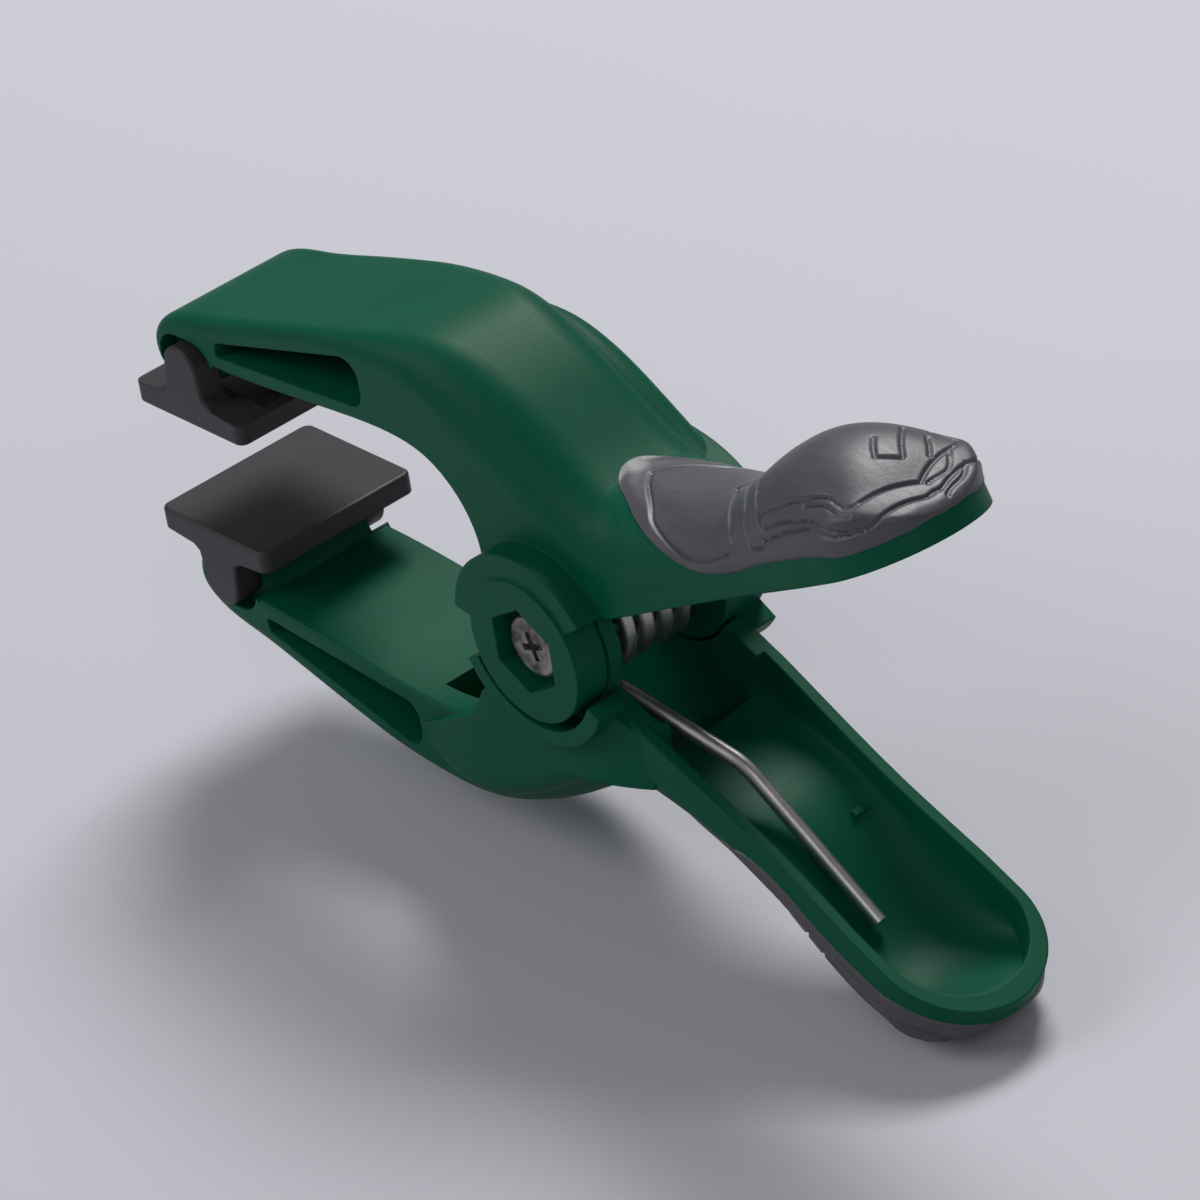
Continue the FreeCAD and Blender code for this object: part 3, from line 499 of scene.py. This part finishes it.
def shoulder_inside(reach, turn, place):
    """How far a place lies inside the strip between the grip's border and its seat's edge."""
    return min(seat_edge.inside(reach, turn, place), FALL - border.inside(reach, turn, place),
               (SEAT[-1][0] - reach) * MM)


def shoulder_height(reach, turn, place):
    """The nylon stands evenly above the handle's skin, with no cuts."""
    return SHOULDER_PROUD


upper_shoulder = handle_cover("upper_shoulder_skin", seat_edge, shoulder_inside, SHOULDER_END,
                              SHOULDER_CELLS, shoulder_height, 0.0)
coat(upper_shoulder, nylon)
lower_shoulder = half_turned(upper_shoulder, "lower_shoulder_skin")
for piece, body in ((upper_shoulder, "upper_side"), (lower_shoulder, "lower_side")):
    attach(piece, body)


# The jaw pads: near-black nylon, each with an ear on either side of its jaw's tip.
# A stud in each ear snaps into the jaw, so that the pad swivels there.
PAD_BLACK = linear(47, 45, 48)
PAD_GREY = linear(58, 55, 58)
PAD_SHEEN = 0.3
PAD_ROUGH = 0.4
PAD_GRAIN = 2200.0
PAD_PATCHES = 80.0
PAD_RELIEF = 0.25
PAD_EDGE = 0.0005

pad_nylon, shader, coords = finish_of("pad_nylon", specular=PAD_SHEEN)
fine = grain(coords, PAD_GRAIN, 1.0)
feed(shader.inputs["Base Color"], grain(coords, PAD_PATCHES, 3.0).mix(PAD_BLACK, PAD_GREY))
feed(shader.inputs["Roughness"], PAD_ROUGH + fine * 0.12)
feed(shader.inputs["Normal"],
     bumped(fine, PAD_RELIEF, MOULD_DEPTH, rounded_edges(coords, PAD_EDGE)))
for name in ("upper_jaw_pad", "lower_jaw_pad"):
    coat(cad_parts[name], pad_nylon)


# The pivot: a blackened steel screw, turned into a barrel nut through the ears of
# both arms. Each has a cross recess in its head, and is rubbed brighter in places.
STEEL_BLACK = linear(84, 81, 81)
STEEL_RUBBED = linear(176, 173, 170)
BLACKING_METALLIC = 0.9
WEAR_SCALE = 320.0
WEAR_FROM = 0.38
WEAR_CONTRAST = 3.0
STEEL_ROUGH = 0.28
SCREW_EDGE = 0.0003

pivot_black, shader, coords = finish_of("blackened_steel", metallic=BLACKING_METALLIC)
worn = grain(coords, WEAR_SCALE, 3.0)
bare = ((worn - WEAR_FROM) * WEAR_CONTRAST).clamp()
feed(shader.inputs["Base Color"], bare.mix(STEEL_BLACK, STEEL_RUBBED))
feed(shader.inputs["Roughness"], STEEL_ROUGH + worn * 0.2)
feed(shader.inputs["Normal"], rounded_edges(coords, SCREW_EDGE))
for name in ("pivot_screw", "pivot_barrel_nut"):
    coat(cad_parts[name], pivot_black)


# The torsion spring: one length of nickelled spring wire wound round the barrel,
# each leg bent once and lying in the hollow of a handle.
WIRE = 0.003
COIL_RADIUS = 0.0095
COIL_LENGTH = 0.0195
COIL_TURNS = 4.5
COIL_FROM = math.radians(-90.0)
LEG_BEND = Vector((0.0350, -0.0054, -0.0192))
LEG_TIP = Vector((0.0615, -0.0022, -0.0434))
BEND_RADIUS = 0.014
FOOT_RADIUS = 0.020
LEG_STRAIGHT = 0.006
CORNER_STEPS = 12
POINTS_PER_TURN = 40
FIRST_BIT = 0.002
WIRE_SMOOTH_BELOW = math.radians(40.0)


def turned_corner(before, corner, after, radius):
    """Points of the arc that rounds a bend in the wire."""
    back = (before - corner).normalized()
    onward = (after - corner).normalized()
    half = back.angle(onward) / 2.0
    reach = radius / math.tan(half)
    centre = corner + (back + onward).normalized() * (radius / math.sin(half))
    first = corner + back * reach - centre
    turn = first.rotation_difference(corner + onward * reach - centre)
    return [centre + Quaternion().slerp(turn, step / CORNER_STEPS) @ first
            for step in range(CORNER_STEPS + 1)]


def helix_point(turn):
    """A point of the coil's centre line, counted in turns from its near end."""
    angle = COIL_FROM - 2.0 * math.pi * turn
    y = COIL_LENGTH * (turn / COIL_TURNS - 0.5)
    return Vector((COIL_RADIUS * math.cos(angle), y, COIL_RADIUS * math.sin(angle)))


coil_start = helix_point(0.0)
leaving = (coil_start - helix_point(FIRST_BIT)).normalized()
leg_foot = coil_start + leaving * LEG_STRAIGHT
leg = [LEG_TIP]
leg += turned_corner(LEG_TIP, LEG_BEND, leg_foot, BEND_RADIUS)
leg += turned_corner(LEG_BEND, leg_foot, coil_start, FOOT_RADIUS)
coil = [helix_point(turn / POINTS_PER_TURN)
        for turn in range(int(COIL_TURNS * POINTS_PER_TURN) + 1)]
far_leg = [Vector((point.x, -point.y, -point.z)) for point in reversed(leg)]
route = [PIVOT + point for point in leg + coil + far_leg]

wire_curve = bpy.data.curves.new("spring_wire", "CURVE")
wire_curve.dimensions = "3D"
wire_curve.bevel_depth = WIRE / 2.0
wire_curve.bevel_resolution = 6
wire_curve.use_fill_caps = True
spline = wire_curve.splines.new("POLY")
spline.points.add(len(route) - 1)
for place, point in zip(spline.points, route):
    place.co = (*point, 1.0)
spring = bpy.data.objects.new("spring_wire", wire_curve)
bpy.context.scene.collection.objects.link(spring)
bpy.ops.object.select_all(action="DESELECT")
bpy.context.view_layer.objects.active = spring
spring.select_set(True)
bpy.ops.object.convert(target="MESH")
spring = bpy.context.view_layer.objects.active
bpy.ops.object.shade_smooth_by_angle(angle=WIRE_SMOOTH_BELOW)

NICKEL = linear(214, 212, 208)
NICKEL_STAINED = linear(158, 156, 154)
NICKEL_ROUGH = 0.34
DRAW_MARKS = 900.0
STAINS = 150.0

spring_steel, shader, coords = finish_of("spring_steel", metallic=1.0)
drawn = grain(coords, DRAW_MARKS, 3.0)
feed(shader.inputs["Base Color"], grain(coords, STAINS, 3.0).mix(NICKEL_STAINED, NICKEL))
feed(shader.inputs["Roughness"], NICKEL_ROUGH + drawn * 0.16)
coat(spring, spring_steel)
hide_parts("torsion_spring")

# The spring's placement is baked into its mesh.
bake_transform(spring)


# The floor and the light: a plain pale grey floor under three large soft lamps,
# none of them part of the clamp.
FLOOR = linear(190, 190, 199)
FLOOR_PALE = linear(196, 196, 204)
FLOOR_SIZE = 6.0
FLOOR_DROP = 0.0005
FLOOR_ROUGH = 0.6
FLOOR_PATCHES = 3.0

bpy.ops.object.select_all(action="DESELECT")
bpy.ops.mesh.primitive_plane_add(size=FLOOR_SIZE, location=(0.0, 0.0, cad_low.z - FLOOR_DROP))
floor = bpy.context.view_layer.objects.active
floor.name = "floor"
floor_paint, shader, coords = finish_of("floor_paint")
feed(shader.inputs["Base Color"], grain(coords, FLOOR_PATCHES, 2.0).mix(FLOOR, FLOOR_PALE))
feed(shader.inputs["Roughness"], FLOOR_ROUGH)
coat(floor, floor_paint)

LAMPS_AIM = Vector((0.08, 0.0, 0.0))


def lamp(name, place, width, power):
    """A square soft lamp, turned to the clamp."""
    data = bpy.data.lights.new(name, "AREA")
    data.shape = "SQUARE"
    data.size = width
    data.energy = power
    obj = bpy.data.objects.new(name, data)
    obj.location = place
    obj.rotation_mode = "QUATERNION"
    obj.rotation_quaternion = (LAMPS_AIM - Vector(place)).to_track_quat("-Z", "Y")
    bpy.context.scene.collection.objects.link(obj)


lamp("key", (-0.45, 0.85, 1.25), 0.6, 20.0)
lamp("fill", (-0.7, -1.1, 1.0), 0.9, 8.5)
lamp("front", (1.2, -0.7, 0.9), 0.8, 3.0)

# A dim sky lights the clamp, and the camera sees an even backdrop instead of it.
SKY = (0.72, 0.72, 0.76, 1.0)
SKY_STRENGTH = 0.22

world = bpy.data.worlds.new("studio")
world.use_nodes = True
world_tree = world.node_tree
lighting = world_tree.nodes["Background"]
lighting.inputs["Color"].default_value = SKY
lighting.inputs["Strength"].default_value = SKY_STRENGTH
backdrop = world_tree.nodes.new("ShaderNodeBackground")
backdrop.inputs["Color"].default_value = FLOOR_PALE
seen_or_lit = world_tree.nodes.new("ShaderNodeMixShader")
light_path = world_tree.nodes.new("ShaderNodeLightPath")
world_tree.links.new(light_path.outputs["Is Camera Ray"], seen_or_lit.inputs[0])
world_tree.links.new(lighting.outputs[0], seen_or_lit.inputs[1])
world_tree.links.new(backdrop.outputs[0], seen_or_lit.inputs[2])
world_tree.links.new(seen_or_lit.outputs[0], world_tree.nodes["World Output"].inputs["Surface"])
bpy.context.scene.world = world
